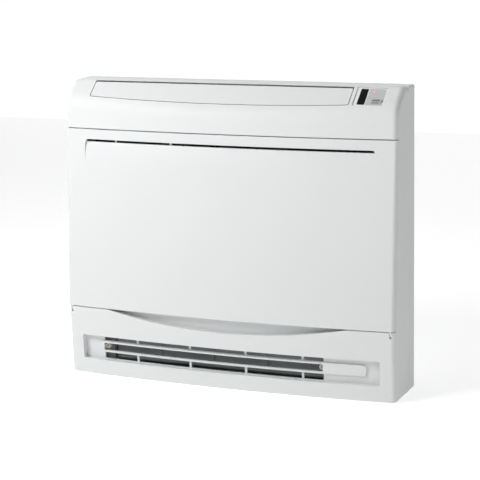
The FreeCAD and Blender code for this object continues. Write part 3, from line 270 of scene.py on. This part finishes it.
# ------------------------------------------------------------------ woven filter nets
def net(name, node, body):
    lo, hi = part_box(node)
    ym = (lo.y + hi.y) / 2
    amp, w, t, pitch = 0.00008, 0.00042, 0.00012, 0.0045
    nx = int((hi.x - lo.x) / pitch)
    nz = int((hi.z - lo.z) / pitch)
    px, pz = (hi.x - lo.x) / nx, (hi.z - lo.z) / nz
    verts, faces = [], []

    def strand(pts, across):
        b = len(verts)
        for p in pts:
            p = Vector(p)
            for s, q in ((-1, -1), (1, -1), (1, 1), (-1, 1)):
                verts.append(tuple(p + Vector(across) * (s * w) + Vector((0, q * t / 2, 0))))
        for k in range(len(pts) - 1):
            a, c = b + 4 * k, b + 4 * (k + 1)
            for j in range(4):
                jj = (j + 1) % 4
                faces.append((a + j, c + j, c + jj, a + jj))
        faces.append((b, b + 1, b + 2, b + 3))
        e = b + 4 * (len(pts) - 1)
        faces.append((e + 3, e + 2, e + 1, e))

    for i in range(1, nx):
        x = lo.x + px * i
        pts = [(x, ym, lo.z)] + [(x, ym + amp * (1 if (i + j) % 2 else -1), lo.z + pz * j) for j in range(1, nz)] + [(x, ym, hi.z)]
        strand(pts, (1, 0, 0))
    for j in range(1, nz):
        z = lo.z + pz * j
        pts = [(lo.x, ym, z)] + [(lo.x + px * i, ym + amp * (-1 if (i + j) % 2 else 1), z) for i in range(1, nx)] + [(hi.x, ym, z)]
        strand(pts, (0, 0, -1))
    ob = piece(name, verts, faces, "filter_net", body)
    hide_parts(node)
    return ob


net("net_left", "mesh_left", "filter_left")
net("net_right", "mesh_right", "filter_right")

# ------------------------------------------------------------------ print on the display module
SL = math.atan(0.821)
SC, SS = math.cos(SL), math.sin(SL)


def slp(u, t, n):
    """Point on the sloped top in metres: u along X, t down the slope, n outwards (millimetres in)."""
    return Vector((u / 1000, (-23.0 - t * SC - n * SS) / 1000, (600.0 - t * SS + n * SC) / 1000))


UP = Vector((0, -SS, SC)) * 0.00006
ink = plastic("print_ink_pl", (0.07, 0.075, 0.075), (0.40, 0.50), 0.10, 2400.0, 0.00001)
verts, faces = [], []
DN = -2.2
for t0, th, a, b in ((31.4, 1.0, 294.2, 308.6), (34.0, 2.6, 294.2, 310.0), (38.2, 1.0, 294.2, 308.6), (40.4, 1.2, 294.2, 308.6)):
    prism([slp(a, t0 + th, DN + 0.7), slp(b, t0 + th, DN + 0.7), slp(b, t0, DN + 0.7), slp(a, t0, DN + 0.7)], UP, verts, faces)
piece("button_bars", verts, faces, "button", "mode_button", ink)
verts, faces = [], []
prism([slp(311.9, 38.6, DN + 0.1), slp(315.9, 38.6, DN + 0.1), slp(315.9, 30.8, DN + 0.1)], UP, verts, faces)
piece("display_arrow", verts, faces, "display_grey", "cabinet", ink)

# ------------------------------------------------------------------ floor, light, camera
m, nt, bs, tc = new_mat("studio_floor_m")
n = noise(nt, tc, 0.6, 2.0)
cr = ramp(nt, n.outputs["Fac"], [(0.3, (0.60, 0.605, 0.605)), (0.7, (0.63, 0.63, 0.63))])
nt.links.new(cr.outputs["Color"], bs.inputs["Base Color"])
bs.inputs["Roughness"].default_value = 0.9
bs.inputs["Specular IOR Level"].default_value = 0.1
bs.inputs["Emission Color"].default_value = (1.0, 1.0, 1.0, 1.0)
bs.inputs["Emission Strength"].default_value = 0.62
me = bpy.data.meshes.new("studio_floor")
me.from_pydata([(-40, -40, -0.0004), (40, -40, -0.0004), (40, 40, -0.0004), (-40, 40, -0.0004)], [], [(0, 1, 2, 3)])
me.materials.append(m)
floor = bpy.data.objects.new("studio_floor", me)
bpy.context.scene.collection.objects.link(floor)

# plain white backdrop behind the object, bent up from the floor
mb, nt, bs, tc = new_mat("studio_backdrop_m")
n = noise(nt, tc, 0.6, 2.0)
cr = ramp(nt, n.outputs["Fac"], [(0.3, (0.90, 0.905, 0.905)), (0.7, (0.93, 0.93, 0.93))])
nt.links.new(cr.outputs["Color"], bs.inputs["Base Color"])
bs.inputs["Roughness"].default_value = 0.9
bs.inputs["Specular IOR Level"].default_value = 0.1
bs.inputs["Emission Color"].default_value = (1.0, 1.0, 1.0, 1.0)
bs.inputs["Emission Strength"].default_value = 0.68
prof = [(3.6, 0.0)] + [(3.6 + 1.2 * math.sin(a), 1.2 - 1.2 * math.cos(a)) for a in (0.2, 0.4, 0.6, 0.8, 1.0, 1.2, 1.4, math.pi / 2)] + [(4.8, 7.0)]
bv = [(x, y, z) for y, z in prof for x in (-12.0, 4.0)]
bf = [(2 * i, 2 * i + 1, 2 * i + 3, 2 * i + 2) for i in range(len(prof) - 1)]
me = bpy.data.meshes.new("studio_backdrop")
me.from_pydata(bv, [], bf)
for pl in me.polygons:
    pl.use_smooth = True
me.materials.append(mb)
drop = bpy.data.objects.new("studio_backdrop", me)
bpy.context.scene.collection.objects.link(drop)

sc = bpy.context.scene
sc.view_settings.view_transform = "Standard"
w = bpy.data.worlds.new("studio")
sc.world = w
w.use_nodes = True
bg = w.node_tree.nodes["Background"]
bg.inputs["Color"].default_value = (0.97, 0.985, 1.0, 1.0)
bg.inputs["Strength"].default_value = 0.02


def area(name, loc, aim, size, watts, col=(1, 1, 1)):
    l = bpy.data.lights.new(name, "AREA")
    l.shape = "RECTANGLE"
    l.size, l.size_y = size
    l.energy = watts
    l.color = col
    o = bpy.data.objects.new(name, l)
    o.location = loc
    o.rotation_euler = (Vector(aim) - Vector(loc)).to_track_quat("-Z", "Y").to_euler()
    sc.collection.objects.link(o)
    return o


area("key", (-1.12, -1.38, 1.66), (0, 0, 0.37), (1.1, 1.1), 38.5)
area("front", (2.0, -2.1, 1.4), (0, 0, 0.37), (1.4, 1.4), 12.0)
area("top", (0.0, 0.0, 3.2), (0, 0, 0.37), (2.4, 2.4), 23.0)

F_PX = 1644.0
YAW, PITCH_A, ROLL = math.radians(23.37), math.radians(11.49), math.radians(-1.12)
fwd = Vector((-math.sin(YAW) * math.cos(PITCH_A), math.cos(YAW) * math.cos(PITCH_A), -math.sin(PITCH_A)))
right = Vector((math.cos(YAW), math.sin(YAW), 0))
up = right.cross(fwd)
r2 = right * math.cos(ROLL) + up * math.sin(ROLL)
u2 = up * math.cos(ROLL) - right * math.sin(ROLL)
cam = bpy.data.cameras.new("camera")
cam.sensor_fit = "HORIZONTAL"
cam.sensor_width = 36.0
cam.lens = F_PX / 480.0 * 36.0
cam.clip_end = 200.0
co = bpy.data.objects.new("camera", cam)
mw = Matrix((r2, u2, -fwd)).transposed().to_4x4()
mw.translation = Vector((1.278, -2.960, 0.938))
co.matrix_world = mw
sc.collection.objects.link(co)
sc.camera = co

bpy.context.view_layer.update()
